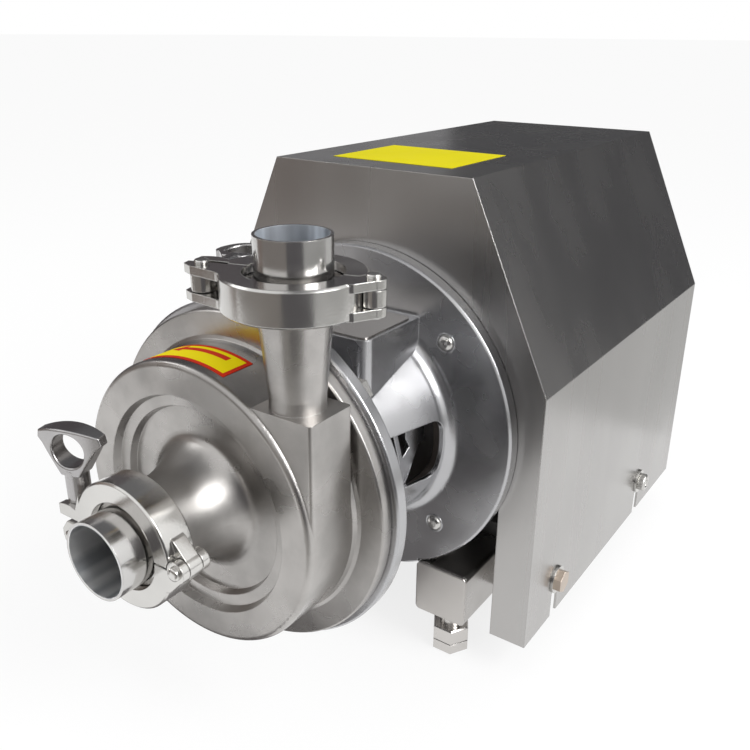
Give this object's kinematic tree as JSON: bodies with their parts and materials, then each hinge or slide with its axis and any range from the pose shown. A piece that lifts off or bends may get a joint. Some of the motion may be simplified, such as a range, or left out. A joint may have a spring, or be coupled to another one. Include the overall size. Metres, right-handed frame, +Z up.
{
  "type": "sanitary centrifugal pump",
  "caption": "Stainless centrifugal pump with clamped inlet and outlet, a lantern, and an electric motor under a folded shroud on a base frame with levelling feet.",
  "frame": {"origin": "on the floor, under the middle of the whole pump", "axes": "+Z up, -Y towards the inlet, +Y along the shaft to the motor's rear, +X to the right seen from the inlet"},
  "size_m": [0.25, 0.4856, 0.3024],
  "materials": {
    "casing_steel": "satin, bead blasted stainless",
    "port_steel": "polished stainless",
    "clamp_steel": "polished stainless",
    "lantern_steel": "satin cast stainless",
    "plate_steel": "polished stainless",
    "shroud_steel": "brushed stainless sheet",
    "frame_steel": "plain stainless",
    "cap_steel": "satin stainless",
    "bolt_steel": "plain stainless",
    "side_bolt_steel": "plain steel with a trace of rust",
    "foot_steel": "plain stainless",
    "shaft_steel": "machined stainless",
    "bearing_steel": "ground steel",
    "core_steel": "laminated steel with varnished windings",
    "motor_aluminium": "cast aluminium",
    "cowl_paint": "satin paint",
    "fan_plastic": "moulded plastic",
    "gland_plastic": "moulded plastic",
    "seal_carbon": "lapped carbon",
    "seal_ceramic": "lapped ceramic",
    "gasket_rubber": "white moulded rubber",
    "o_ring_rubber": "black moulded rubber",
    "roof_sticker": "yellow vinyl, bare",
    "arrow_sticker": "yellow vinyl with a red border and arrow"
  },
  "bodies": {
    "pump": {"back_plate": "casing_steel", "cable_gland": "gland_plastic", "casing_bolts": "bolt_steel", "casing_o_ring": "o_ring_rubber", "clamp_gaskets": "gasket_rubber", "cross_members": "frame_steel", "direction_label": "arrow_sticker", "fan_cowl": "cowl_paint", "foot_bosses": "frame_steel", "inlet_clamp_fixed_half": "clamp_steel", "inlet_clamp_pins": "clamp_steel", "inlet_ferrule": "port_steel", "lantern": "lantern_steel", "lantern_bolts": "bolt_steel", "lantern_pad_plate": "plate_steel", "left_rail": "frame_steel", "motor_bearings": "bearing_steel", "motor_foot_bolts": "bolt_steel", "motor_frame": "motor_aluminium", "motor_front_shield": "motor_aluminium", "motor_rear_shield": "motor_aluminium", "outlet_clamp_fixed_half": "clamp_steel", "outlet_clamp_pins": "clamp_steel", "outlet_ferrule": "port_steel", "rail_end_caps": "cap_steel", "right_rail": "frame_steel", "seal_seat": "seal_ceramic", "shroud_brackets": "frame_steel", "shroud_cap_bolts": "bolt_steel", "shroud_hex_bolts": "side_bolt_steel", "shroud_washers": "bolt_steel", "stator": "core_steel", "terminal_box": "motor_aluminium", "terminal_box_lid": "motor_aluminium", "volute_casing": "casing_steel"},
    "rotor": {"motor_shaft": "shaft_steel", "rotor_core": "core_steel", "cooling_fan": "fan_plastic", "pump_shaft": "shaft_steel", "shaft_set_screws": "bolt_steel", "impeller": "shaft_steel", "impeller_nut": "shaft_steel", "seal_ring": "seal_carbon", "seal_spring": "shaft_steel"},
    "shroud_cover": {"shroud": "shroud_steel", "shroud_label": "roof_sticker"},
    "foot_front_right": {"foot_bolt_front_right": "foot_steel", "lock_nut_front_right": "foot_steel"},
    "foot_front_left": {"foot_bolt_front_left": "foot_steel", "lock_nut_front_left": "foot_steel"},
    "foot_rear_right": {"foot_bolt_rear_right": "foot_steel", "lock_nut_rear_right": "foot_steel"},
    "foot_rear_left": {"foot_bolt_rear_left": "foot_steel", "lock_nut_rear_left": "foot_steel"},
    "inlet_eye": {"inlet_eye_bolt": "clamp_steel"},
    "inlet_nut": {"inlet_wing_nut": "clamp_steel"},
    "inlet_half": {"inlet_clamp_moving_half": "clamp_steel"},
    "outlet_eye": {"outlet_eye_bolt": "clamp_steel"},
    "outlet_nut": {"outlet_wing_nut": "clamp_steel"},
    "outlet_half": {"outlet_clamp_moving_half": "clamp_steel"}
  },
  "joints": [
    {"name": "rotor_spin", "type": "hinge", "parent": "pump", "child": "rotor", "pos_m": [0, -0.03725, 0.156], "axis": [0, 1, 0], "continuous": true},
    {"name": "shroud_lift", "type": "slide", "parent": "pump", "child": "shroud_cover", "axis": [0, 0, 1], "range_m": [0, 0.3]},
    {"name": "foot_front_right_height", "type": "slide", "parent": "pump", "child": "foot_front_right", "axis": [0, 0, -1], "range_m": [-0.012, 0.008]},
    {"name": "foot_front_left_height", "type": "slide", "parent": "pump", "child": "foot_front_left", "axis": [0, 0, -1], "range_m": [-0.012, 0.008]},
    {"name": "foot_rear_right_height", "type": "slide", "parent": "pump", "child": "foot_rear_right", "axis": [0, 0, -1], "range_m": [-0.012, 0.008]},
    {"name": "foot_rear_left_height", "type": "slide", "parent": "pump", "child": "foot_rear_left", "axis": [0, 0, -1], "range_m": [-0.012, 0.008]},
    {"name": "inlet_eye_swing", "type": "hinge", "parent": "pump", "child": "inlet_eye", "pos_m": [-0.0375, -0.22025, 0.1475], "axis": [0, -1, 0], "range_deg": [0, 100]},
    {"name": "inlet_nut_travel", "type": "slide", "parent": "inlet_eye", "child": "inlet_nut", "axis": [0, 0, 1], "range_m": [0, 0.009]},
    {"name": "inlet_half_opening", "type": "hinge", "parent": "pump", "child": "inlet_half", "pos_m": [0.035, -0.22025, 0.156], "axis": [0, 1, 0], "range_deg": [0, 6.3]},
    {"name": "outlet_eye_swing", "type": "hinge", "parent": "pump", "child": "outlet_eye", "pos_m": [0.01771, -0.18335, 0.2726], "axis": [0, 0, 1], "range_deg": [0, 100]},
    {"name": "outlet_nut_travel", "type": "slide", "parent": "outlet_eye", "child": "outlet_nut", "axis": [-0.284, 0.9588, 0], "range_m": [0, 0.009]},
    {"name": "outlet_half_opening", "type": "hinge", "parent": "pump", "child": "outlet_half", "pos_m": [0.08956, -0.15831, 0.2726], "axis": [0, 0, -1], "range_deg": [0, 6.3]}
  ],
  "couplings": [
    {"joint": "inlet_half_opening", "follows": "inlet_nut_travel", "rad_per_m": 12},
    {"joint": "outlet_half_opening", "follows": "outlet_nut_travel", "rad_per_m": 12}
  ]
}
